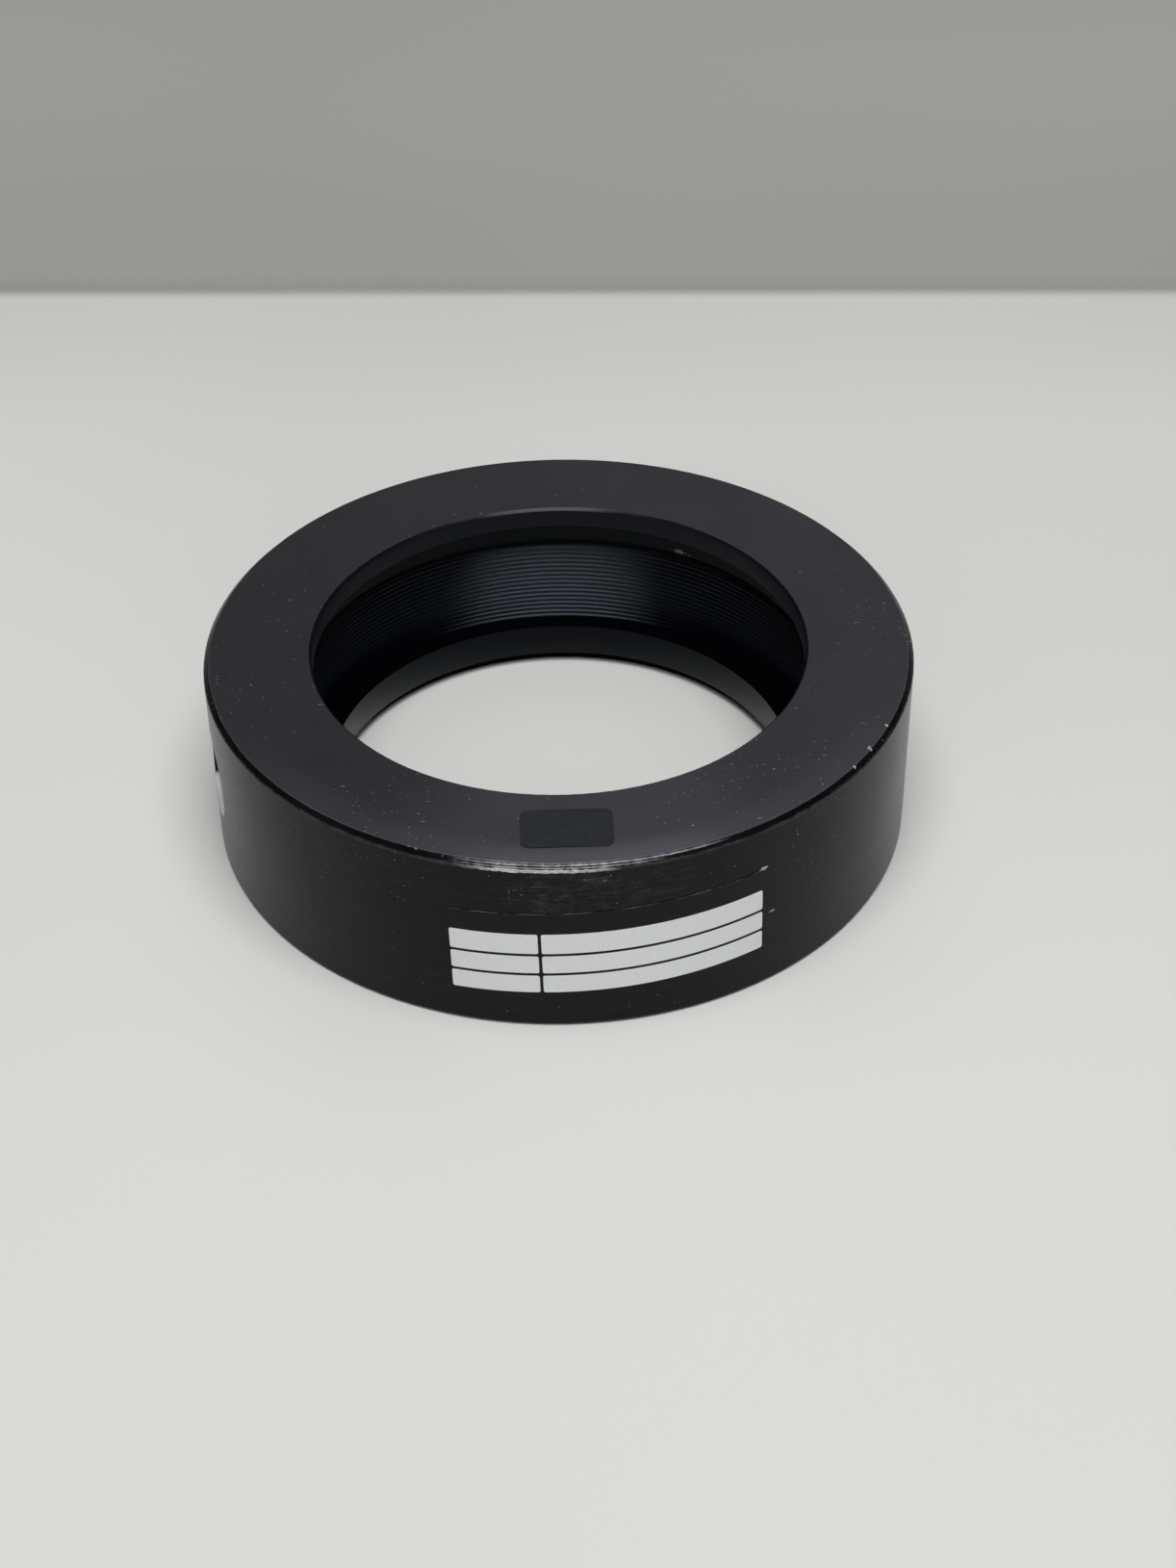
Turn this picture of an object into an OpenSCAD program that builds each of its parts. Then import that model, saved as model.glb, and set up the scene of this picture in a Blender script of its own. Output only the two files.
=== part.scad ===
// Fixed lens mount: a turned ring that holds one round lens against an inner lip.
// The lens drops in from the open end onto its seat, and a threaded retaining ring
// screws up behind it. The mount is held by a post in the tapped hole in its side.
// The origin is the centre of the base, +Z is the optical axis, and the post hole
// opens towards -X.

/* [Body] */
// Outside diameter of the body
body_d = 101.6; // [98:0.2:140]
// Height of the body along the optical axis
body_h = 27.8; // [27:0.2:60]
// Chamfer round the outer top edge
top_chamfer = 0.8; // [0.2:0.1:2]
// Chamfer round the outer bottom edge
base_chamfer = 0.4; // [0.2:0.1:2]

/* [Lip and lens seat] */
// Clear aperture through the lip
aperture_d = 70.8; // [60:0.2:74]
// Thickness of the lip that the lens bears on
lip_t = 3.2; // [1.6:0.1:6]
// Broken edge where the aperture meets the top face
aperture_chamfer = 0.4; // [0.1:0.1:1]
// Diameter of the seat that centres the lens
seat_d = 75.2; // [74.4:0.2:77.6]
// Depth of the lens seat below the lip
seat_h = 3.6; // [1.5:0.1:6]

/* [Internal thread] */
// Major diameter of the thread that the retaining ring runs in
thread_d = 78; // [77.8:0.1:82]
// How far the relief groove is cut below the thread's major diameter
relief_depth = 0.4; // [0.2:0.1:1]
// Width of the relief groove between the seat and the thread
relief_w = 2; // [1:0.1:4]
// Lead-in chamfer at the open end of the thread
lead_in = 0.6; // [0.2:0.1:1.5]

/* [Retaining ring] */
// Bore of the retaining ring
ring_bore_d = 67.8; // [60:0.2:70]
// Height of the retaining ring
ring_h = 6.7; // [5:0.1:9]
// Radial clearance between the ring's thread and the body's
ring_clearance = 0.1; // [0.05:0.01:0.3]
// How far the ring's lower face stands inside the base
ring_recess = 0.1; // [0:0.1:2]
// Lead-in chamfer round the ring's upper edge
ring_lead_in = 2.2; // [0.2:0.1:2.5]
// Broken edge round the ring's lower edge
ring_edge = 0.5; // [0.1:0.1:1]
// Radial width of the flare at the mouth of the ring's bore
ring_flare_w = 1.1; // [0.2:0.1:1.5]
// Height of the flare at the mouth of the ring's bore
ring_flare_h = 1.6; // [0.2:0.1:2]
// Width of each spanner slot across the ring's lower face
slot_w = 2.4; // [1:0.1:6]
// Depth of each spanner slot
slot_depth = 2.4; // [1:0.1:3]
// Angle of the spanner slots round the axis, from +X
slot_angle = 165; // [0:1:179]

/* [Post hole] */
// Major diameter of the tapped hole
post_d = 6.35; // [3:0.05:8]
// Depth of the full thread, below the spot face
post_depth = 8; // [4:0.1:8]
// Diameter of the spot face that the post's shoulder seats on
spot_d = 12.8; // [10:0.1:20]
// Depth of the spot face below the side of the body
spot_depth = 0.7; // [0.5:0.1:1.5]
// Countersink at the mouth of the tapped hole
post_chamfer = 0.5; // [0.2:0.1:1]
// Height of the post hole above the base
post_z = 13.5; // [11:0.1:16]

/* [Side label] */
// Length of the label round the body
label_w = 44.4; // [20:0.2:80]
// Height of the label
label_h = 15.6; // [6:0.2:16]
// Radius of the label's corners
label_r = 0.8; // [0.2:0.1:3]
// Thickness of the label
label_t = 0.12; // [0.1:0.01:0.5]
// Height of the label's middle above the base
label_z = 12.2; // [11:0.1:14]
// Angle of the label's middle round the axis, from the post hole
label_angle = 84.8; // [60:0.2:300]
// Tilt of the label, which was put on by hand
label_tilt = 1.3; // [-5:0.1:5]

/* [Top label] */
// Length of the blank label on the top face
patch_w = 12.2; // [4:0.1:24]
// Width of the blank label, along the radius
patch_h = 7.8; // [3:0.1:9]
// Radius of its corners
patch_r = 1.2; // [0.2:0.1:1.4]
// Thickness of the blank label
patch_t = 0.1; // [0.08:0.01:0.5]
// Angle of its middle round the axis, from the post hole
patch_angle = 78.5; // [0:0.5:359]

/* [Hidden] */
$fn = 180;

black_anodised = [0.12, 0.12, 0.13];
label_black = [0.05, 0.05, 0.05];
patch_black = [0.08, 0.08, 0.085];

overrun = 1;                 // how far a cutting tool runs past the face it starts from
drill_point_angle = 118;     // included angle at the bottom of a drilled hole

body_r = body_d / 2;
aperture_r = aperture_d / 2;
seat_r = seat_d / 2;
thread_r = thread_d / 2;
relief_r = thread_r + relief_depth;

lip_z = body_h - lip_t;      // underside of the lip
seat_z = lip_z - seat_h;     // open end of the lens seat
relief_z = seat_z - relief_w; // end of the full thread

ring_r = thread_r - ring_clearance;
ring_bore_r = ring_bore_d / 2;
ring_z = ring_recess;
ring_top = ring_z + ring_h;

post_r = post_d / 2;
spot_r = spot_d / 2;
spot_floor = body_r - spot_depth;      // distance of the spot face from the axis
post_point = post_r / tan(drill_point_angle / 2);

// Straight width that leaves the label its full length once it is wrapped
label_chord = 2 * body_r * sin(label_w / body_d * 180 / PI);
patch_centre = (body_r - top_chamfer + aperture_r + aperture_chamfer) / 2;

// Rectangle with round corners, centred on the origin
module rounded_rectangle(w, h, r) {
    square([w - 2 * r, h], center = true);
    square([w, h - 2 * r], center = true);
    for (x = [-1, 1], y = [-1, 1])
        translate([x * (w / 2 - r), y * (h / 2 - r)])
            circle(r = r);
}

// Half section of the turned body, radius along X and height along Y
module body_section() {
    polygon([
        [thread_r + lead_in, 0],
        [body_r - base_chamfer, 0],
        [body_r, base_chamfer],
        [body_r, body_h - top_chamfer],
        [body_r - top_chamfer, body_h],
        [aperture_r + aperture_chamfer, body_h],
        [aperture_r, body_h - aperture_chamfer],
        [aperture_r, lip_z],
        [seat_r, lip_z],
        [seat_r, seat_z],
        [relief_r, seat_z],
        [relief_r, relief_z],
        [thread_r, relief_z],
        [thread_r, lead_in]
    ]);
}

// Spot face, tapped hole and drill point, cut inwards along +X from the side
module post_hole_cut() {
    translate([-body_r, 0, post_z])
        rotate([0, 90, 0]) {
            translate([0, 0, -overrun])
                cylinder(r = spot_r, h = overrun + spot_depth);
            cylinder(r = post_r, h = spot_depth + post_depth);
            translate([0, 0, spot_depth])
                cylinder(r1 = post_r + post_chamfer, r2 = post_r, h = post_chamfer);
            translate([0, 0, spot_depth + post_depth])
                cylinder(r1 = post_r, r2 = 0, h = post_point);
        }
}

module mount_body() {
    color(black_anodised)
        difference() {
            rotate_extrude()
                body_section();
            post_hole_cut();
        }
}

// Half section of the retaining ring, with its bore flared at the lower face
module ring_section() {
    polygon([
        [ring_bore_r + ring_flare_w, ring_z],
        [ring_r - ring_edge, ring_z],
        [ring_r, ring_z + ring_edge],
        [ring_r, ring_top - ring_lead_in],
        [ring_r - ring_lead_in, ring_top],
        [ring_bore_r, ring_top],
        [ring_bore_r, ring_z + ring_flare_h]
    ]);
}

// Both spanner slots are milled in one pass across the lower face
module spanner_slots() {
    rotate([0, 0, slot_angle])
        translate([-ring_r - overrun, -slot_w / 2, ring_z - overrun])
            cube([2 * (ring_r + overrun), slot_w, overrun + slot_depth]);
}

module retaining_ring() {
    color(black_anodised)
        difference() {
            rotate_extrude()
                ring_section();
            spanner_slots();
        }
}

// Thin film wrapped on the side of the body
module side_label() {
    color(label_black)
        rotate([0, 0, 180 + label_angle])
            intersection() {
                difference() {
                    cylinder(r = body_r + label_t, h = body_h);
                    translate([0, 0, -overrun])
                        cylinder(r = body_r, h = body_h + 2 * overrun);
                }
                translate([0, 0, label_z])
                    rotate([0, 90, 0])
                        rotate([0, 0, 90 + label_tilt])
                            linear_extrude(height = body_r + overrun)
                                rounded_rectangle(label_chord, label_h, label_r);
            }
}

// Blank film on the top face, midway between the two edges
module top_label() {
    color(patch_black)
        rotate([0, 0, 180 + patch_angle])
            translate([patch_centre, 0, body_h])
                linear_extrude(height = patch_t)
                    rounded_rectangle(patch_h, patch_w, patch_r);
}

mount_body();
retaining_ring();
side_label();
top_label();
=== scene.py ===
import math

import bmesh
import bpy
import numpy as np
from mathutils import Matrix, Vector

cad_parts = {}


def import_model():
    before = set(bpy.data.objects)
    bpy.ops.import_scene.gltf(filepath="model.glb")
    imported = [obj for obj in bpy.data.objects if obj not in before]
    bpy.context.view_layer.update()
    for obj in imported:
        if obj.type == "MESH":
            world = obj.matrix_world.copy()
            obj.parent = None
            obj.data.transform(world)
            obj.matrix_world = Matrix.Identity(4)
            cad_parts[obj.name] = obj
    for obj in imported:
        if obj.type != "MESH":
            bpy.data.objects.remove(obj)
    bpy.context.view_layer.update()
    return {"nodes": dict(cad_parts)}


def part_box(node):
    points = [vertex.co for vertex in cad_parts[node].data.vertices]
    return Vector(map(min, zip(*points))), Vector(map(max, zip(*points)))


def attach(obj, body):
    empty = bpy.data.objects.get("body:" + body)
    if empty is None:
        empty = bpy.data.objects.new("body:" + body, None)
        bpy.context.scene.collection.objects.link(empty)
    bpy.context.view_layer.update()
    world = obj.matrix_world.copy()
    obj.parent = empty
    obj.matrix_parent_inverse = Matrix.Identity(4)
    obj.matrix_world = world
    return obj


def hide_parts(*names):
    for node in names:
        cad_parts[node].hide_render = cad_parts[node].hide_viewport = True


# Looks of the fixed lens mount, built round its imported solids. Lengths are in metres and
# +Z is the optical axis. The base lies at z = 0 and the post hole opens towards -X.

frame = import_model()

# ---------------------------------------------------------------- sizes

MM = 0.001
FULL_TURN = 2 * math.pi

body_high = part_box("mount_body")[1]
ring_low, ring_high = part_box("retaining_ring")
BODY_R = body_high.x
BODY_H = body_high.z
APERTURE_R = 35.4 * MM

# The fine thread that carries the retaining ring
PITCH = 25.4 / 32 * MM
THREAD_MAJOR_R = 39.0 * MM
THREAD_TOP = 19.0 * MM
LEAD_IN = 0.6 * MM
INTERNAL_DEPTH = 0.5413          # radial depth of an internal thread, in pitches
EXTERNAL_DEPTH = 0.6134          # radial depth of an external thread, in pitches
FLANK = math.tan(math.radians(30))
INTERNAL_CREST = 1 / 8           # half width of an internal crest, in pitches
EXTERNAL_CREST = 1 / 16          # half width of an external crest, in pitches
CREST_ROUND = 0.26               # how rounded the crests in the bore are, in pitches
THREAD_SEGMENTS = 240
BORE_SLEEVE = 0.04 * MM          # how far the thread's sleeve reaches into and out of the wall

# The retaining ring
RING_R = ring_high.x
RING_BORE_R = 33.9 * MM
RING_LEAD_IN = 2.2 * MM
RING_EDGE = 0.5 * MM
FLARE_W = 1.1 * MM
FLARE_H = 1.6 * MM
SLOT_W = 2.4 * MM
SLOT_DEPTH = 2.4 * MM
SLOT_ANGLE = math.radians(165)

# The tapped post hole
POST_PITCH = 25.4 / 20 * MM
POST_R = 3.175 * MM
POST_DEPTH = 8.0 * MM
POST_CHAMFER = 0.5 * MM
POST_Z = 13.5 * MM
SPOT_DEPTH = 0.7 * MM
POST_SEGMENTS = 64
POST_SLEEVE = 0.02 * MM          # as BORE_SLEEVE, for this thread

# The label on the side
LABEL_ANGLE = math.radians(180 + 84.8)
LABEL_Z = 12.2 * MM
LABEL_TILT = math.radians(1.3)
LABEL_T = 0.12 * MM
PRINT_T = 0.025 * MM

# How rounded the machined edges are
EDGE_ROUND = 0.12 * MM

# How deep the turning marks are
BODY_MARKS = 0.02 * MM
BORE_MARKS = 0.005 * MM

# Where the finish changes, in millimetres
BORE_SIDE_R = 40                 # the bore's walls lie inside this radius
BORE_TOP = 27.5                  # and below this height
LIP_R = 36                       # the lip's wall lies inside this radius; beyond it the bore's walls are painted darker as shade
TOP_CHAMFER = 0.8
SPOT_R = 6.4
STEP_LIT_BARE_BELOW = 9.2            # the step round the spot face is bare below this height, painted as lit below it and as shade above

# Where the finish is worn and dusty, and where a sheen and a highlight are painted on: places in
# millimetres, and angles round +Z in degrees
# The front, where the finish is worn and where the top face's painted sheen lies
WORN_AND_SHEEN_ANGLE = 262
# Where the painted highlight on the aperture's chamfer faces
MOUTH_HIGHLIGHT_ANGLE = 80
WIPED_ANGLE = -13
SCUFF = (-11.5, -49.5, 23.5)
SCUFF_RIGHT = (-1, -50.8, 23.0)

# Lines worn along the top chamfer: millimetres down from its upper edge, width, the angle
# of the middle, the reach to both sides, how bare it is, and how bare its small nicks are
RUBBED = [
    (0.00, 0.14, 254, 4, 0.08, 0.35),
    (0.22, 0.13, 262, 13, 0.50, 0.0),
    (0.48, 0.13, 257, 8, 0.42, 0.0),
    (0.80, 0.28, 254, 4, 0.80, 0.35),
]

# Dusty places and how far round them the dust reaches
DUSTY = [
    ((-48.5, 0, 27.8), 8),
    ((-27, -34, 27.8), 16),
    ((8, -40, 27.8), 11),
    ((17, -36, 27.8), 12),
    ((31, -36, 27.8), 14),
    ((45, -6, 27.8), 10),
    ((22, -46, 22), 7),
    ((30, -41, 11), 8),
    ((-26.5, -43.3, 15), 4),
]

# Chips through the finish: place, size along X, Y and Z, and grey level
CHIPS = [
    ((25.6, 27.6, 21.2), (1.3, 1.3, 0.7), 0.16),
    ((26.6, 26.6, 20.9), (1.2, 1.2, 0.5), 0.10),
    ((-18.5, 30.2, 24.0), (0.9, 0.9, 0.5), 0.04),
    ((8.6, 32.8, 6.8), (0.5, 0.5, 0.3), 0.25),
    ((16.7, -48.0, 20.6), (0.9, 0.9, 0.35), 0.45),
    ((18.4, -47.3, 12.4), (0.6, 0.6, 0.3), 0.25),
    ((-5.6, -50.5, 25.2), (0.35, 0.35, 0.25), 0.12),
    ((32.0, -38.8, 27.8), (0.5, 0.5, 0.4), 0.40),
    ((35.2, -35.4, 27.8), (0.6, 0.6, 0.3), 0.25),
    ((39.0, -31.0, 27.8), (0.4, 0.4, 0.4), 0.60),
    ((-28.4, -41.2, 27.8), (0.3, 0.3, 0.4), 0.12),
    ((-17.6, -47.7, 23.0), (0.16, 0.16, 1.0), 0.07),
    ((-17.0, -47.9, 23.8), (0.7, 0.7, 0.14), 0.05),
]

# Tints that a grey level is multiplied by
NAVY = (0.6, 0.95, 1.6)
DEEP_NAVY = (0.3, 0.9, 2.4)
NAVY_GLOSS = (0.78, 0.86, 1.0)
BODY_TINT = (0.9, 1, 1.05)
LIP_TINT = (0.8, 0.95, 1.7)
BORE_SHADE_TINT = (0.3, 1, 1.5)
DUST_AND_SHEEN_TINT = (0.98, 0.96, 1.12)
SCRATCH_TINT = (1, 1, 0.95)
SPECK_TINT = (1, 0.98, 0.96)
CHIP_TINT = (1, 0.98, 0.86)
SIDE_FILM_TINT = (1, 0.98, 1.06)
TOP_FILM_TINT = (0.92, 0.99, 1.09)
INK_TINT = (0.99, 1, 0.985)


# ---------------------------------------------------------------- meshes

def add_object(name, bm, material, smooth_angle=None):
    """A new object from a bmesh, smooth where its faces meet at less than smooth_angle."""
    mesh = bpy.data.meshes.new(name)
    bm.to_mesh(mesh)
    bm.free()
    if smooth_angle is not None:
        mesh.shade_smooth()
        mesh.set_sharp_from_angle(angle=smooth_angle)
    obj = bpy.data.objects.new(name, mesh)
    bpy.context.scene.collection.objects.link(obj)
    mesh.materials.append(material)
    return obj


def from_ridge(angle, height, pitch, ridge_at):
    """Axial distance from the nearest ridge of a right-hand thread, at most half a pitch."""
    turns = height / pitch - angle / FULL_TURN - ridge_at
    return abs((turns + 0.5) % 1 - 0.5) * pitch


def internal_radius(angle, height, pitch, major):
    """Radius of an internal thread, whose ridges stand in towards the axis."""
    crest = major - INTERNAL_DEPTH * pitch
    away = from_ridge(angle, height, pitch, 0.0)
    return min(major, max(crest, crest + (away - INTERNAL_CREST * pitch) / FLANK))


def worn_radius(angle, height, pitch, major):
    """Radius of an internal thread whose crests are rounded by its finish."""
    crest = major - INTERNAL_DEPTH * pitch
    away = from_ridge(angle, height, pitch, 0.0) / FLANK
    depth = math.hypot(away, CREST_ROUND * pitch) - CREST_ROUND * pitch
    return min(major, crest + depth)


def external_radius(angle, height, pitch, major):
    """Radius of the external thread that runs half a pitch away from the internal one."""
    root = major - EXTERNAL_DEPTH * pitch
    away = from_ridge(angle, height, pitch, 0.5)
    return max(root, min(major, major - (away - EXTERNAL_CREST * pitch) / FLANK))


def threaded_solid(pitch, low, high, radius_at, rows, rest, segments):
    """A closed mesh round +Z. Between the heights low and high its surface follows
    radius_at(angle, height), with lines of vertices along the helix at the shares of a
    pitch in rows. The rest of its section is the (radius, height) points in rest."""
    bm = bmesh.new()
    first = math.floor(low / pitch) - 2
    heights = [n + row for n in range(first, math.ceil(high / pitch) + 2) for row in rows]
    columns = []
    for j in range(segments):
        angle = FULL_TURN * j / segments
        section = []
        for turns in heights:
            z = min(high, max(low, (turns + angle / FULL_TURN) * pitch))
            section.append((radius_at(angle, z), z))
        section += rest
        c, s = math.cos(angle), math.sin(angle)
        columns.append([bm.verts.new((r * c, r * s, z)) for r, z in section])
    count = len(columns[0])
    last = len(heights) - 1
    for j in range(segments):
        here, there = columns[j], columns[(j + 1) % segments]
        # The helix climbs one pitch a turn, so the last column meets the first a pitch on
        step = len(rows) if j == segments - 1 else 0
        for k in range(count):
            n = (k + 1) % count
            k_there = min(k + step, last) if k <= last else k
            n_there = min(n + step, last) if n <= last else n
            corners = [here[k], there[k_there], there[n_there], here[n]]
            unique = list(dict.fromkeys(corners))
            if len(unique) > 2 and not bm.faces.get(unique):
                bm.faces.new(unique)
    bmesh.ops.remove_doubles(bm, verts=bm.verts, dist=1e-7)
    bmesh.ops.dissolve_degenerate(bm, edges=bm.edges, dist=1e-7)
    bmesh.ops.recalc_face_normals(bm, faces=bm.faces)
    return bm


def bore_thread(material):
    """The fine thread cut in the bore of the body, as a thin sleeve set into its wall."""
    rows = [-0.4375, -0.28, -0.16, -0.07, 0.0, 0.07, 0.16, 0.28, 0.4375]
    wall_r = THREAD_MAJOR_R + BORE_SLEEVE
    root_r = THREAD_MAJOR_R - BORE_SLEEVE
    low, high = LEAD_IN + 0.02 * MM, THREAD_TOP - 0.01 * MM

    def radius(angle, height):
        lead = THREAD_MAJOR_R + LEAD_IN - height
        thread = worn_radius(angle, height, PITCH, THREAD_MAJOR_R)
        return min(root_r, max(thread, lead))

    rest = [(wall_r, high), (wall_r, low)]
    bm = threaded_solid(PITCH, low, high, radius, rows, rest, THREAD_SEGMENTS)
    return add_object("bore_thread", bm, material, math.radians(70))


def cut(obj, cutter):
    """Takes the cutter's volume out of obj, and removes the cutter."""
    modifier = obj.modifiers.new("cut", "BOOLEAN")
    modifier.operation = "DIFFERENCE"
    modifier.solver = "EXACT"
    modifier.object = cutter
    bpy.context.view_layer.update()
    evaluated = obj.evaluated_get(bpy.context.evaluated_depsgraph_get())
    mesh = bpy.data.meshes.new_from_object(evaluated)
    obj.modifiers.remove(modifier)
    obj.data = mesh
    bpy.data.objects.remove(cutter)


def threaded_ring(material, shade_material):
    """The retaining ring with its thread cut, and both spanner slots in its lower face."""
    low, high = ring_low.z, ring_high.z
    rows = [0.5 + share for share in (-0.41, -0.1, -0.04, 0.04, 0.1, 0.41)]
    edge = 0.03 * MM

    def radius(angle, height):
        lower = RING_R - RING_EDGE + (height - low)
        upper = RING_R - RING_LEAD_IN + (high - height)
        thread = external_radius(angle, height, PITCH, RING_R)
        return min(thread, lower, upper)

    rest = [
        (RING_BORE_R + edge, high),
        (RING_BORE_R, high - edge),
        (RING_BORE_R, low + FLARE_H),
        (RING_BORE_R + FLARE_W, low),
    ]
    bm = threaded_solid(PITCH, low, high, radius, rows, rest, THREAD_SEGMENTS)
    ring = add_object("threaded_ring", bm, material)
    slot = bmesh.new()
    bmesh.ops.create_cube(slot, size=1)
    size = Matrix.Diagonal((3 * RING_R, SLOT_W, 2 * SLOT_DEPTH, 1))
    place = Matrix.Rotation(SLOT_ANGLE, 4, "Z") @ Matrix.Translation((0, 0, low))
    bmesh.ops.transform(slot, matrix=place @ size, verts=slot.verts)
    cut(ring, add_object("slot_cutter", slot, material))
    ring.data.materials.append(shade_material)
    # The flare and the up-facing faces on the lens side get the near-black finish: painted shade
    # for the shadowed gap under the ring and the dark groove above it
    for face in ring.data.polygons:
        inner = face.center.xy.length < RING_BORE_R + FLARE_W
        flare = inner and -0.9 < face.normal.z < -0.3
        top = face.center.z > high - RING_LEAD_IN and face.normal.z > 0.3
        if flare or top:
            face.material_index = 1
    ring.data.shade_smooth()
    ring.data.set_sharp_from_angle(angle=math.radians(40))
    return ring


def post_thread(material):
    """The thread of the post hole, as a thin sleeve set into the wall of the hole."""
    rows = [-0.4375, -0.16, -0.09, 0.09, 0.16, 0.4375]
    wall_r = POST_R + POST_SLEEVE
    root_r = POST_R - POST_SLEEVE
    low, high = POST_CHAMFER, POST_DEPTH - 0.1 * MM

    def radius(angle, height):
        sink = POST_R + POST_CHAMFER - height
        thread = internal_radius(angle, height, POST_PITCH, POST_R)
        return min(root_r, max(thread, sink))

    rest = [(wall_r, high), (wall_r, low)]
    bm = threaded_solid(POST_PITCH, low, high, radius, rows, rest, POST_SEGMENTS)
    mouth = Matrix.Translation((-BODY_R + SPOT_DEPTH, 0, POST_Z))
    inwards = Matrix.Rotation(math.radians(90), 4, "Y")
    bmesh.ops.transform(bm, matrix=mouth @ inwards, verts=bm.verts)
    return add_object("post_thread", bm, material, math.radians(50))


def wrapped_field(bm, left, right, low, high, corner):
    """One printed field with round corners. Its edges are measured from the label's middle."""
    under = BODY_R + LABEL_T - PRINT_T
    over = BODY_R + LABEL_T + PRINT_T
    step = 0.5 * MM
    inner = np.linspace(left + corner, right - corner, max(2, round((right - left) / step)))
    round_end = corner * (1 - np.cos(np.linspace(0, math.pi / 2, 6)))[:-1]
    along = [*(left + round_end), *inner, *(right - round_end)[::-1]]
    sections = []
    for s in along:
        inset = max(0.0, left + corner - s, s - right + corner)
        drop = corner - math.sqrt(max(0.0, corner * corner - inset * inset))
        bottom, top = low + drop, high - drop
        section = []
        for t, radius in ((bottom, under), (bottom, over), (top, over), (top, under)):
            arc = s * math.cos(LABEL_TILT) - t * math.sin(LABEL_TILT)
            up = s * math.sin(LABEL_TILT) + t * math.cos(LABEL_TILT)
            angle = LABEL_ANGLE + arc / BODY_R
            place = (radius * math.cos(angle), radius * math.sin(angle), LABEL_Z + up)
            section.append(bm.verts.new(place))
        sections.append(section)
    for here, there in zip(sections, sections[1:]):
        for k in range(4):
            n = (k + 1) % 4
            bm.faces.new([here[k], here[n], there[n], there[k]])
    bm.faces.new(sections[0][::-1])
    bm.faces.new(sections[-1])


def label_print(material):
    """The white print on the side label: the empty fields of a write-on form."""
    bm = bmesh.new()
    rule = 0.45 * MM
    corner = 0.3 * MM
    left, right = -21.6 * MM, 21.6 * MM
    split = -9.5 * MM
    rows = [(-6.0 * MM, -2.6 * MM), (-2.6 * MM, 0.8 * MM), (0.8 * MM, 4.6 * MM)]
    for low, high in rows:
        wrapped_field(bm, left, split - rule / 2, low + rule / 2, high - rule / 2, corner)
        wrapped_field(bm, split + rule / 2, right, low + rule / 2, high - rule / 2, corner)
    bmesh.ops.recalc_face_normals(bm, faces=bm.faces)
    return add_object("label_print", bm, material, math.radians(30))


# ---------------------------------------------------------------- materials

class Nodes:
    """Short calls for the nodes of one node tree."""

    def __init__(self, tree):
        self.tree = tree

    def node(self, kind, **settings):
        made = self.tree.nodes.new(kind)
        for key, value in settings.items():
            setattr(made, key, value)
        return made

    def put(self, socket, value):
        if isinstance(value, bpy.types.NodeSocket):
            self.tree.links.new(value, socket)
        else:
            socket.default_value = value

    def math(self, operation, a, b=0.0):
        made = self.node("ShaderNodeMath", operation=operation)
        self.put(made.inputs[0], a)
        self.put(made.inputs[1], b)
        return made.outputs[0]

    def times(self, first, *others):
        """The product of all the values."""
        for value in others:
            first = self.math("MULTIPLY", first, value)
        return first

    def plus(self, first, *others):
        """The sum of all the values."""
        for value in others:
            first = self.math("ADD", first, value)
        return first

    def most(self, first, *others):
        """The largest of the values."""
        for value in others:
            first = self.math("MAXIMUM", first, value)
        return first

    def vector(self, operation, a, b):
        made = self.node("ShaderNodeVectorMath", operation=operation)
        self.put(made.inputs[0], a)
        self.put(made.inputs[1], b)
        return made.outputs[0]

    def split(self, vector):
        made = self.node("ShaderNodeSeparateXYZ")
        self.put(made.inputs[0], vector)
        return made.outputs

    def join(self, x, y, z):
        made = self.node("ShaderNodeCombineXYZ")
        for socket, value in zip(made.inputs, (x, y, z)):
            self.put(socket, value)
        return made.outputs[0]

    def turn(self, vector, angle):
        """The vector turned by angle round Z."""
        made = self.node("ShaderNodeVectorRotate", rotation_type="Z_AXIS")
        self.put(made.inputs["Vector"], vector)
        made.inputs["Angle"].default_value = angle
        return made.outputs["Vector"]

    def noise(self, vector, scale, detail=2.0, roughness=0.5):
        made = self.node("ShaderNodeTexNoise")
        self.put(made.inputs["Vector"], vector)
        made.inputs["Scale"].default_value = scale
        made.inputs["Detail"].default_value = detail
        made.inputs["Roughness"].default_value = roughness
        return made.outputs["Fac"]

    def ramp(self, value, low, high, start=0.0, end=1.0):
        """Maps value from low..high to start..end, smoothly and held at both ends."""
        made = self.node("ShaderNodeMapRange", interpolation_type="SMOOTHSTEP")
        self.put(made.inputs["Value"], value)
        for key, number in (("From Min", low), ("From Max", high), ("To Min", start),
                            ("To Max", end)):
            made.inputs[key].default_value = number
        return made.outputs["Result"]

    def mix(self, factor, a, b):
        made = self.node("ShaderNodeMix", data_type="RGBA")
        self.put(made.inputs["Factor"], factor)
        self.put(made.inputs["A"], a)
        self.put(made.inputs["B"], b)
        return made.outputs["Result"]


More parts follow.
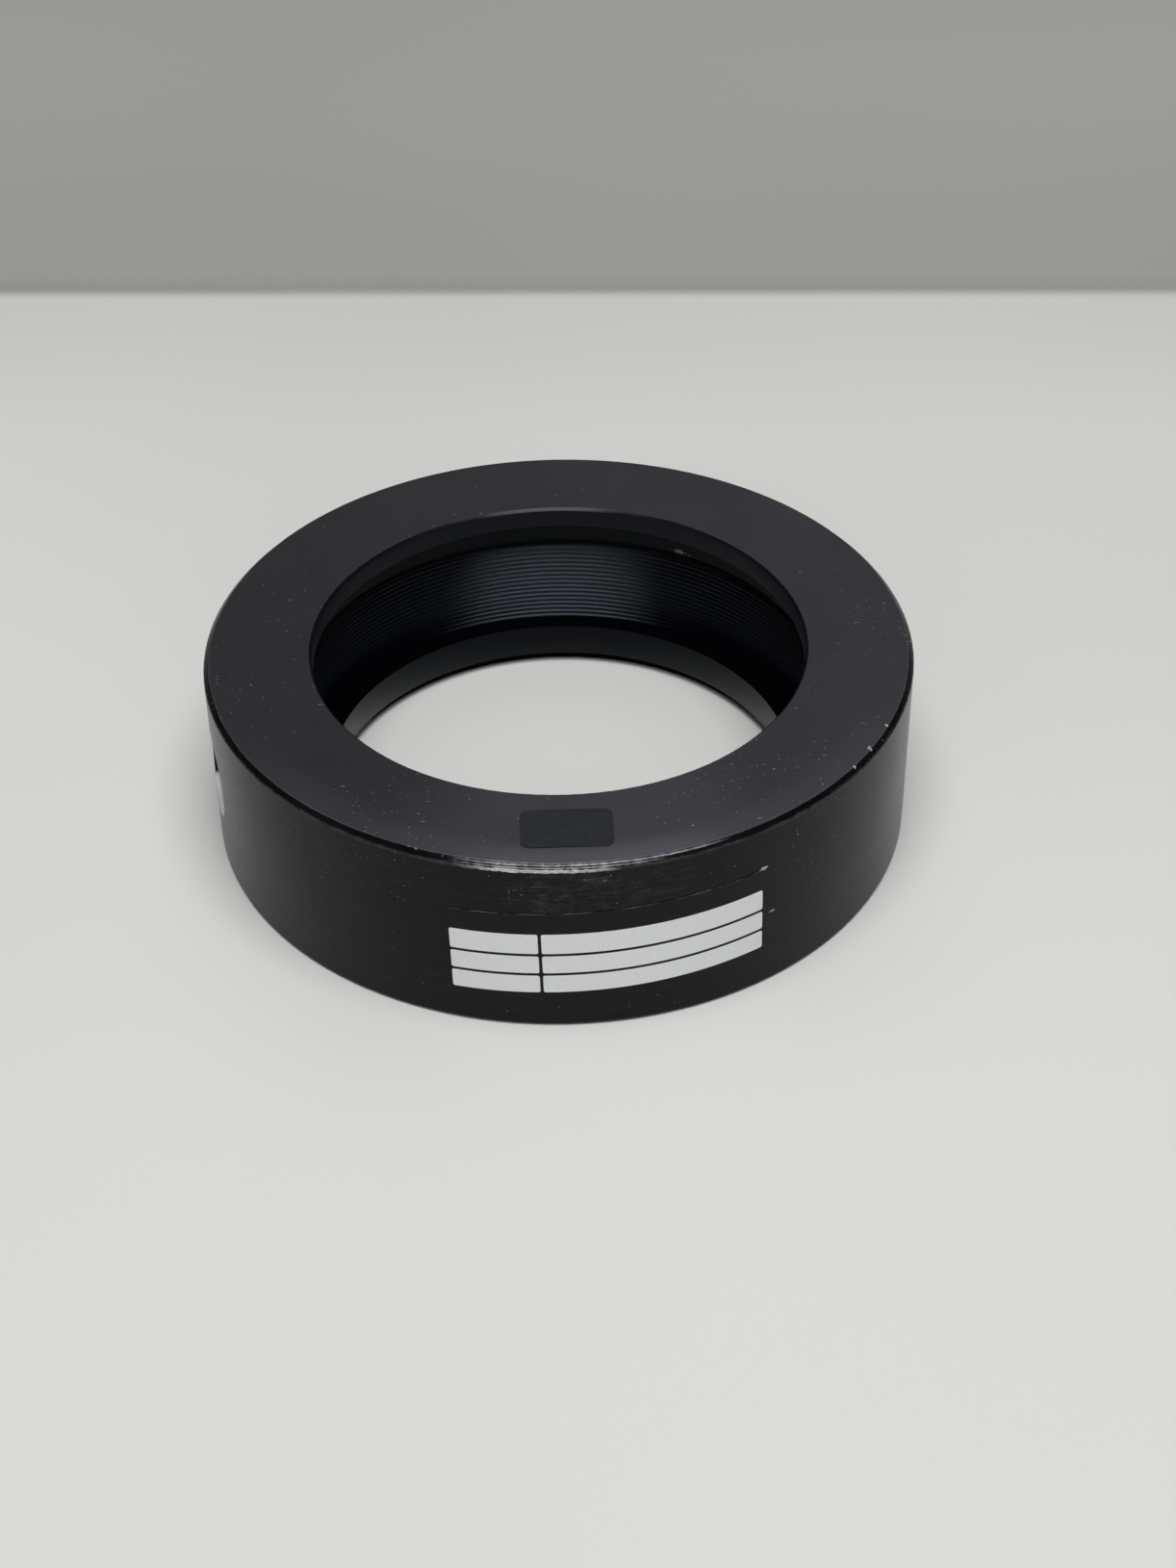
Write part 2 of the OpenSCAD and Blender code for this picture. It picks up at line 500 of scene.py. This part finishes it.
class Finish(Nodes):
    """A material, with the object's own coordinates in millimetres."""

    def __init__(self, name):
        self.material = bpy.data.materials.new(name)
        self.material.use_nodes = True
        super().__init__(self.material.node_tree)
        self.shader = self.tree.nodes["Principled BSDF"]
        self.texture_space = self.node("ShaderNodeTexCoord")
        self.place = self.vector("MULTIPLY", self.texture_space.outputs["Object"], (1 / MM,) * 3)
        self.x, self.y, self.z = self.split(self.place)
        self.radius = self.length(self.join(self.x, self.y, 0))
        self.grain = self.noise(self.place, 1.2, 4.0, 0.6)

    def set(self, **inputs):
        """Sets or links the shader's inputs, with _ for each space in their names."""
        for key, value in inputs.items():
            self.put(self.shader.inputs[key.replace("_", " ")], value)

    def length(self, vector):
        made = self.node("ShaderNodeVectorMath", operation="LENGTH")
        self.put(made.inputs[0], vector)
        return made.outputs["Value"]

    def dot(self, a, b):
        made = self.node("ShaderNodeVectorMath", operation="DOT_PRODUCT")
        self.put(made.inputs[0], a)
        self.put(made.inputs[1], b)
        return made.outputs["Value"]

    def near(self, centre, reach):
        """Fades from 1 at the point centre to 0 at the distance reach from it."""
        away = self.length(self.vector("SUBTRACT", self.place, centre))
        return self.ramp(away, 0, reach, 1, 0)

    def spot(self, centre, size):
        """1 inside a ragged spot round centre, with the sizes along X, Y and Z in size."""
        away = self.vector("DIVIDE", self.vector("SUBTRACT", self.place, centre), size)
        ragged = self.times(self.noise(self.place, 2.2, 3.0), 2.4)
        return self.ramp(self.plus(self.length(away), ragged), 1.7, 2.0, 1, 0)

    def edge(self, radius, height, width):
        """1 on the turned edge at this radius and height, and 0 from about width away."""
        across = self.math("SUBTRACT", self.radius, radius)
        along = self.math("SUBTRACT", self.z, height)
        ragged = self.times(self.math("SUBTRACT", self.grain, 0.5), 2 * width)
        away = self.plus(self.length(self.join(across, along, 0)), ragged)
        return self.ramp(away, 0.6 * width, width, 1, 0)

    def facing(self, angle, half_width, fade):
        """1 on the side of the object that faces angle, all in degrees round +Z."""
        way = (math.cos(math.radians(angle)), math.sin(math.radians(angle)), 0)
        cosine = self.math("DIVIDE", self.dot(self.place, way), self.radius)
        outer = math.cos(math.radians(half_width + fade))
        inner = math.cos(math.radians(half_width))
        return self.ramp(cosine, outer, inner)

    def flecks(self, space, spacing, size, share, seed):
        """Small round specks, one in some of the cells of a random 3-D pattern."""
        cells = self.node("ShaderNodeTexVoronoi")
        shifted = self.vector("ADD", space, (seed, seed, seed))
        self.put(cells.inputs["Vector"], shifted)
        cells.inputs["Scale"].default_value = 1 / spacing
        chosen, strength, _ = self.split(cells.outputs["Color"])
        fleck = self.ramp(cells.outputs["Distance"], size / spacing * 0.6, size / spacing, 1, 0)
        present = self.math("LESS_THAN", chosen, share)
        return self.times(fleck, self.ramp(strength, 0, 1, 0.3, 1), present)

    def bump(self, height, distance, strength=1.0):
        made = self.node("ShaderNodeBump")
        self.put(made.inputs["Height"], height)
        made.inputs["Distance"].default_value = distance
        made.inputs["Strength"].default_value = strength
        return made.outputs["Normal"]


def grey(level, tint=(1, 1, 1)):
    return tuple(level * t for t in tint) + (1,)


def anodised(name, base, tint, gloss, rough, marks_depth, specular_tint=(1, 1, 1)):
    """Black anodised aluminium with fine turning marks."""
    f = Finish(name)
    turned = f.join(f.times(f.x, 0.03), f.times(f.y, 0.03), f.plus(f.radius, f.z))
    f.marks = f.noise(turned, 4.0, 4.0, 0.65)
    f.colour = f.mix(f.ramp(f.marks, 0.3, 0.7), grey(0.7 * base, tint), grey(1.3 * base, tint))
    f.roughness = f.ramp(f.marks, 0.25, 0.75, rough - 0.04, rough + 0.04)
    f.set(Base_Color=f.colour, Roughness=f.roughness, Specular_IOR_Level=gloss,
          Specular_Tint=specular_tint + (1,), Normal=f.bump(f.marks, marks_depth, 0.25))
    return f


def turned_grain(f, amount):
    """Spreads a finish's reflections across the turning marks, which run round the axis."""
    around = f.node("ShaderNodeTangent", direction_type="RADIAL", axis="Z")
    f.set(Tangent=around.outputs["Tangent"], Anisotropic=amount, Anisotropic_Rotation=0.25)
    return f.material


def dust_and_sheen(f):
    """How light the top face is: a dusty film that is lighter towards +X, and a painted sheen at
    the front and along the front rim.
    """
    cloud = f.ramp(f.noise(f.place, 0.08, 3.0), 0.2, 0.8, 0.9, 1.15)
    # The dust film, lighter towards +X
    dust = f.times(cloud, f.ramp(f.x, -50, 50, 0.042, 0.069))
    # Painted sheen: the front of the top face, its front rim and a broad band along the rim are
    # made lighter
    front = f.facing(WORN_AND_SHEEN_ANGLE, 8, 32)
    rim = f.times(f.ramp(f.radius, 45.5, 49.5), f.facing(WORN_AND_SHEEN_ANGLE, 4, 20))
    edge_sheen = f.times(f.ramp(f.radius, 44, 49), f.facing(WORN_AND_SHEEN_ANGLE, 40, 35))
    return f.plus(dust, f.times(front, 0.040), f.times(rim, 0.07), f.times(edge_sheen, 0.027))


def scratches(f):
    """How scratched the side is: fine lines round it, and scuffs under the front rim."""
    body_r = BODY_R / MM
    wrapped = f.join(f.times(f.math("ARCTAN2", f.y, f.x), body_r), f.z, f.radius)
    drawn_out = f.vector("MULTIPLY", wrapped, (0.16, 2.2, 1))
    scratch = f.ramp(f.noise(drawn_out, 1.0, 5.0, 0.7), 0.52, 0.75)
    stretched = f.vector("MULTIPLY", wrapped, (0.6, 1.2, 1))
    mottled = f.ramp(f.noise(stretched, 0.9, 5.0, 0.75), 0.45, 0.75)
    scuffed = f.plus(f.near(SCUFF, 9.5), f.times(f.near(SCUFF_RIGHT, 10), 0.5))
    under_rim = f.times(f.ramp(f.z, 19, 26), f.facing(WORN_AND_SHEEN_ANGLE, 30, 30))
    scratched = f.plus(0.012, f.times(under_rim, 0.025), f.times(scuffed, 0.07))
    amount = f.plus(f.times(scratch, scratched), f.times(mottled, scuffed, 0.095))
    outside = f.ramp(f.radius, body_r - 0.3, body_r - 0.1)
    return f.times(amount, outside)


def specks(f):
    """Specks and lint, thickest in the dusty places."""
    crowded = f.plus(*(f.near(place, reach) for place, reach in DUSTY))
    share = f.plus(0.09, f.times(crowded, 0.8))
    fine = f.flecks(f.place, 0.8, 0.12, share, 0)
    coarse = f.flecks(f.place, 2.4, 0.20, share, 31)
    lint = f.flecks(f.vector("MULTIPLY", f.place, (0.25, 1, 1)), 1.0, 0.10, share, 57)
    return f.most(fine, coarse, lint)


def rubbed_chamfer(f):
    """How bare the metal is along the front of the top chamfer."""
    broken = f.ramp(f.noise(f.place, 0.45, 4.0, 0.7), 0.32, 0.56, 0.35, 1)
    nicked = f.ramp(f.noise(f.place, 0.9, 3.0), 0.70, 0.76)
    lines = []
    for down, width, angle, reach, share, nicks in RUBBED:
        line = f.edge(BODY_R / MM - TOP_CHAMFER + down, BODY_H / MM - down, width)
        rubbed = f.times(f.facing(angle, reach, 9), share)
        rubbed = f.times(f.plus(rubbed, 0.1 * nicks), broken)
        lines.append(f.times(line, f.most(rubbed, f.times(nicked, nicks))))
    return f.most(*lines)


def bare_spot(f):
    """How bare the metal is on the spot face, and on the lower part of the step round it, which
    is painted as lit; the step's upper part stays black as painted shade.
    """
    from_hole = f.length(f.join(f.y, f.math("SUBTRACT", f.z, POST_Z / MM), 0))
    above_face = f.math("ABSOLUTE", f.plus(f.x, (BODY_R - SPOT_DEPTH) / MM))
    stained = f.ramp(f.noise(f.place, 0.4, 5.0, 0.7), 0.3, 0.7, 0.60, 0.85)
    face = f.times(f.ramp(from_hole, SPOT_R - 0.15, SPOT_R - 0.05, 1, 0), stained,
                   f.ramp(above_face, 0.03, 0.06, 1, 0))
    # Bare metal only on the step's lower part: painted light below, painted shade above
    step = f.times(f.ramp(from_hole, SPOT_R - 0.10, SPOT_R - 0.04),
                   f.ramp(from_hole, SPOT_R + 0.02, SPOT_R + 0.06, 1, 0),
                   f.ramp(f.x, -45, -44, 1, 0),
                   f.ramp(f.z, STEP_LIT_BARE_BELOW, STEP_LIT_BARE_BELOW + 0.6, 1, 0))
    return face, step


def painted_mouth_highlight(f):
    """A painted highlight: a shiny, slightly metallic patch on the aperture's chamfer at the far
    side, where the lamp glints.
    """
    at_aperture = f.ramp(f.radius, APERTURE_R / MM, APERTURE_R / MM + 0.5, 1, 0)
    near_top = f.ramp(f.z, BODY_H / MM - 0.5, BODY_H / MM - 0.4)
    return f.times(at_aperture, near_top, f.facing(MOUTH_HIGHLIGHT_ANGLE, 3, 15), 0.09)


def worn_body(name):
    """The body's finish, with the dust, scuffs, chips and bare edges of long use, and painted
    shade, sheen and highlights.
    """
    f = anodised(name, base=0.004, tint=BODY_TINT, gloss=0.15, rough=0.26,
                 marks_depth=BODY_MARKS)
    facing_up = f.ramp(f.split(f.texture_space.outputs["Normal"])[2], 0.75, 0.98)
    in_bore = f.times(f.ramp(f.radius, BORE_SIDE_R, BORE_SIDE_R + 1, 1, 0),
                      f.ramp(f.z, BORE_TOP, BORE_TOP + 0.2, 1, 0))
    # Behind the lip the bore's walls are painted darker: painted shade under the lip's overhang
    behind_lip = f.ramp(f.radius, LIP_R, LIP_R + 1)
    bore_tone_and_shade = f.mix(behind_lip, grey(0.006, LIP_TINT), grey(0.003, BORE_SHADE_TINT))
    colour = f.mix(in_bore, f.colour, bore_tone_and_shade)
    # Dust and the painted sheen at the front, on the up-facing faces
    colour = f.mix(f.times(facing_up, dust_and_sheen(f)), colour, grey(0.35, DUST_AND_SHEEN_TINT))
    colour = f.mix(scratches(f), colour, grey(0.5, SCRATCH_TINT))
    speckled = f.times(specks(f), f.math("SUBTRACT", 1, in_bore), 0.38)
    colour = f.mix(speckled, colour, grey(0.4, SPECK_TINT))
    for place, size, level in CHIPS:
        colour = f.mix(f.spot(place, size), colour, grey(level, CHIP_TINT))
    spot_face, step = bare_spot(f)
    # Bare metal, with the painted light on the step and the painted highlight at the mouth
    bare_and_painted_light = f.most(rubbed_chamfer(f), spot_face, step, painted_mouth_highlight(f))
    colour = f.mix(bare_and_painted_light, colour, grey(0.8))

    bore_roughness = f.ramp(behind_lip, 0, 1, 0.15, 0.35)
    roughness = f.plus(f.roughness, f.times(facing_up, 0.15), f.times(in_bore, bore_roughness),
                       f.times(step, 0.55))
    marks = f.times(f.marks, f.math("SUBTRACT", 1, f.most(spot_face, step)))
    f.set(Base_Color=colour, Roughness=roughness, Metallic=bare_and_painted_light,
          Normal=f.bump(marks, BODY_MARKS, 0.25))
    return f.material


def shade_black(name):
    """A near-black, rough finish that reflects next to nothing: painted shade."""
    f = Finish(name)
    f.set(Base_Color=f.mix(f.grain, grey(0.0004, NAVY), grey(0.0010, NAVY)), Roughness=0.9,
          Specular_IOR_Level=0.02)
    return f.material


def film(name, level, tint, marks, edge_lightening):
    """Smooth black label film with faint handling marks, and its up-facing upper edge made
    lighter.
    """
    f = Finish(name)
    wiped = f.vector("MULTIPLY", f.turn(f.place, -math.radians(WIPED_ANGLE)), (0.5, 2.2, 2.2))
    smudge = f.ramp(f.noise(wiped, 0.9, 5.0, 0.75), 0.48, 0.75)
    fleck = f.flecks(f.place, 1.3, 0.10, 0.35, 12)
    colour = f.mix(f.times(smudge, marks), grey(level, tint), grey(0.4))
    colour = f.mix(f.times(fleck, 2 * marks), colour, grey(0.4))
    # The film's up-facing faces are made lighter
    upper_edge = f.ramp(f.split(f.texture_space.outputs["Normal"])[2], 0.7, 0.95, 0, edge_lightening)
    lifted = f.ramp(f.noise(f.place, 0.25, 4.0, 0.7), 0.4, 0.6, 0.1, 1)
    colour = f.mix(f.times(upper_edge, lifted), colour, grey(0.4))
    roughness = f.ramp(smudge, 0, 1, 0.30, 0.45)
    f.set(Base_Color=colour, Roughness=roughness, Specular_IOR_Level=0.15,
          Normal=f.bump(smudge, 0.01 * MM, 0.3))
    return f.material


def white_ink():
    """White screen print, very slightly uneven."""
    f = Finish("label_print")
    uneven = f.noise(f.place, 2.5, 4.0)
    colour = f.mix(f.ramp(uneven, 0.3, 0.7), grey(0.81, INK_TINT), grey(0.85, INK_TINT))
    roughness = f.ramp(uneven, 0.3, 0.7, 0.45, 0.55)
    f.set(Base_Color=colour, Roughness=roughness, Specular_IOR_Level=0.3)
    return f.material


# ---------------------------------------------------------------- the object

body_finish = worn_body("body_anodised")
ring_finish = anodised("ring_anodised", base=0.002, tint=NAVY, gloss=0.10, rough=0.14,
                       marks_depth=BODY_MARKS, specular_tint=NAVY_GLOSS).material
smooth_bore = anodised("bore_anodised", base=0.0014, tint=DEEP_NAVY, gloss=0.55, rough=0.38,
                       marks_depth=BORE_MARKS, specular_tint=NAVY_GLOSS)
bore_finish = turned_grain(smooth_bore, amount=1.0)


def finish_node(name, material):
    node = frame["nodes"][name]
    node.data.materials.clear()
    node.data.materials.append(material)
    return node


def round_edges(node, width):
    """Real machined edges are never sharp, so they get a small round."""
    weld = node.modifiers.new("weld", "WELD")
    weld.merge_threshold = 1e-6
    bevel = node.modifiers.new("edges", "BEVEL")
    bevel.width = width
    bevel.segments = 2
    bevel.limit_method = "ANGLE"
    bevel.angle_limit = math.radians(30)
    node.modifiers.new("flat faces stay flat", "WEIGHTED_NORMAL")


body = finish_node("mount_body", body_finish)
round_edges(body, EDGE_ROUND)
finish_node("side_label", film("side_label_film", level=0.004, tint=SIDE_FILM_TINT,
                               marks=0.015, edge_lightening=0.3))
finish_node("top_label", film("top_label_film", level=0.015, tint=TOP_FILM_TINT,
                              marks=0.04, edge_lightening=0.0))

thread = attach(bore_thread(bore_finish), "mount")
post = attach(post_thread(bore_finish), "mount")
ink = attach(label_print(white_ink()), "mount")
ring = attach(threaded_ring(ring_finish, shade_black("ring_painted_shade")), "retainer")
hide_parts("retaining_ring")


# ---------------------------------------------------------------- studio

# The photograph's camera: it looks along HEADING, measured from +Y, and down on the object
HEADING = math.radians(-13)
ELEVATION = math.radians(38.1)
ROLL = math.radians(-0.7)
DISTANCE = 387.7 * MM
AIM = Vector((3.97, 0, 1.47)) * MM
SENSOR = 36.0
FOCAL_LENGTH = 59.42

# The table, and the backdrop that it meets along a seam behind the object
FLOOR_SIZE = 6.0
FLOOR_BACK = 160 * MM
SEAM_SLOPE = -0.023
TABLE_COLOUR = (0.70, 0.695, 0.655)
BACKDROP_COLOUR = (0.36, 0.359, 0.325)

# The light of the room, of its far wall at the bottom and at the top, and of the lamps
ROOM_LIGHT = 0.035
WALL_LOW = 0.2
WALL_HIGH = 0.7
LAMP_COLOUR = (0.95, 0.97, 1.0)


def camera():
    data = bpy.data.cameras.new("camera")
    data.sensor_width = SENSOR
    data.lens = FOCAL_LENGTH
    data.clip_start = 0.01
    data.clip_end = 20
    obj = bpy.data.objects.new("camera", data)
    bpy.context.scene.collection.objects.link(obj)
    turn = Matrix.Rotation(HEADING, 3, "Z")
    back = Vector((0, -math.cos(ELEVATION), math.sin(ELEVATION)))
    right = Vector((1, 0, 0))
    up = Vector((0, math.sin(ELEVATION), math.cos(ELEVATION)))
    rolled_right = right * math.cos(ROLL) + up * math.sin(ROLL)
    rolled_up = up * math.cos(ROLL) - right * math.sin(ROLL)
    axes = turn @ Matrix((rolled_right, rolled_up, back)).transposed()
    obj.matrix_world = Matrix.Translation(turn @ (AIM + back * DISTANCE)) @ axes.to_4x4()
    bpy.context.scene.camera = obj


def floor():
    """A pale table that meets a greyer backdrop behind the object, with painted shade on the
    table towards the seam and towards the camera, painted shade along the seam, and painted
    light on the backdrop further back.
    """
    bm = bmesh.new()
    bmesh.ops.create_grid(bm, x_segments=1, y_segments=1, size=FLOOR_SIZE)
    f = Finish("floor")
    seam = f.plus(FLOOR_BACK / MM, f.times(f.x, SEAM_SLOPE))
    behind = f.math("SUBTRACT", f.y, seam)
    cloud = f.noise(f.place, 0.004, 2.0)
    tone = f.ramp(cloud, 0.3, 0.7, 0.97, 1.03)
    # Painted shade: the table darkens towards the seam and towards the camera
    table_tone_and_shade = f.times(tone, f.ramp(behind, -60, 0, 1.0, 0.93),
                         f.ramp(behind, -420, -150, 0.90, 0.99))
    # Painted light and shade: the backdrop lightens further back and is darker just past the
    # seam
    wall_tone_and_light = f.times(tone, f.ramp(behind, 0, 130, 1.0, 1.15), f.ramp(behind, 2, 9, 0.9, 1))
    table = f.vector("MULTIPLY", TABLE_COLOUR, f.join(*(table_tone_and_shade,) * 3))
    wall = f.vector("MULTIPLY", BACKDROP_COLOUR, f.join(*(wall_tone_and_light,) * 3))
    colour = f.mix(f.ramp(behind, -2.5, 2.5), table, wall)
    f.set(Base_Color=colour, Roughness=f.ramp(cloud, 0.3, 0.7, 0.55, 0.65),
          Specular_IOR_Level=0.3)
    obj = add_object("floor", bm, f.material)
    obj.rotation_euler.z = HEADING


def lamp(name, near, far, width, radiance, aside=0.0):
    """A flat oval soft light. Its near and far edges are given as metres towards the camera
    and metres up from the object, and aside is how far it stands to the camera's right."""
    across = Vector((-1, 0, 0))
    near_edge, far_edge = (Vector((aside, -towards, up)) for towards, up in (near, far))
    along = (far_edge - near_edge).normalized()
    length = (far_edge - near_edge).length
    data = bpy.data.lights.new(name, "AREA")
    data.shape = "ELLIPSE"
    data.size, data.size_y = width, length
    data.energy = radiance * math.pi * (math.pi / 4 * width * length)
    data.color = LAMP_COLOUR
    obj = bpy.data.objects.new(name, data)
    bpy.context.scene.collection.objects.link(obj)
    turn = Matrix.Rotation(HEADING, 3, "Z")
    axes = turn @ Matrix((across, along, across.cross(along))).transposed()
    middle = turn @ ((near_edge + far_edge) / 2)
    obj.matrix_world = Matrix.Translation(middle) @ axes.to_4x4()


def world():
    """A dark room, with the pale far wall that the black finish reflects."""
    made = bpy.data.worlds.new("world")
    made.use_nodes = True
    n = Nodes(made.node_tree)
    direction = n.node("ShaderNodeTexCoord").outputs["Generated"]
    across, ahead, up = n.split(n.turn(direction, -HEADING))
    across = n.math("ABSOLUTE", across)
    wall = n.times(n.ramp(ahead, 0.1, 0.3), n.ramp(across, 0.30, 0.45, 1, 0))
    light = n.plus(n.times(wall, n.ramp(up, 0.45, 0.80, WALL_LOW, WALL_HIGH)), ROOM_LIGHT)
    background = n.tree.nodes["Background"]
    n.put(background.inputs["Color"], n.join(light, light, light))
    background.inputs["Strength"].default_value = 1.0
    bpy.context.scene.world = made


camera()
floor()
lamp("overhead", near=(-0.10, 1.65), far=(1.55, 2.45), width=1.60, radiance=7.4, aside=0.08)
lamp("front", near=(1.60, 1.40), far=(1.94, 1.08), width=3.0, radiance=2.4)
world()

scene = bpy.context.scene
scene.view_settings.view_transform = "Standard"
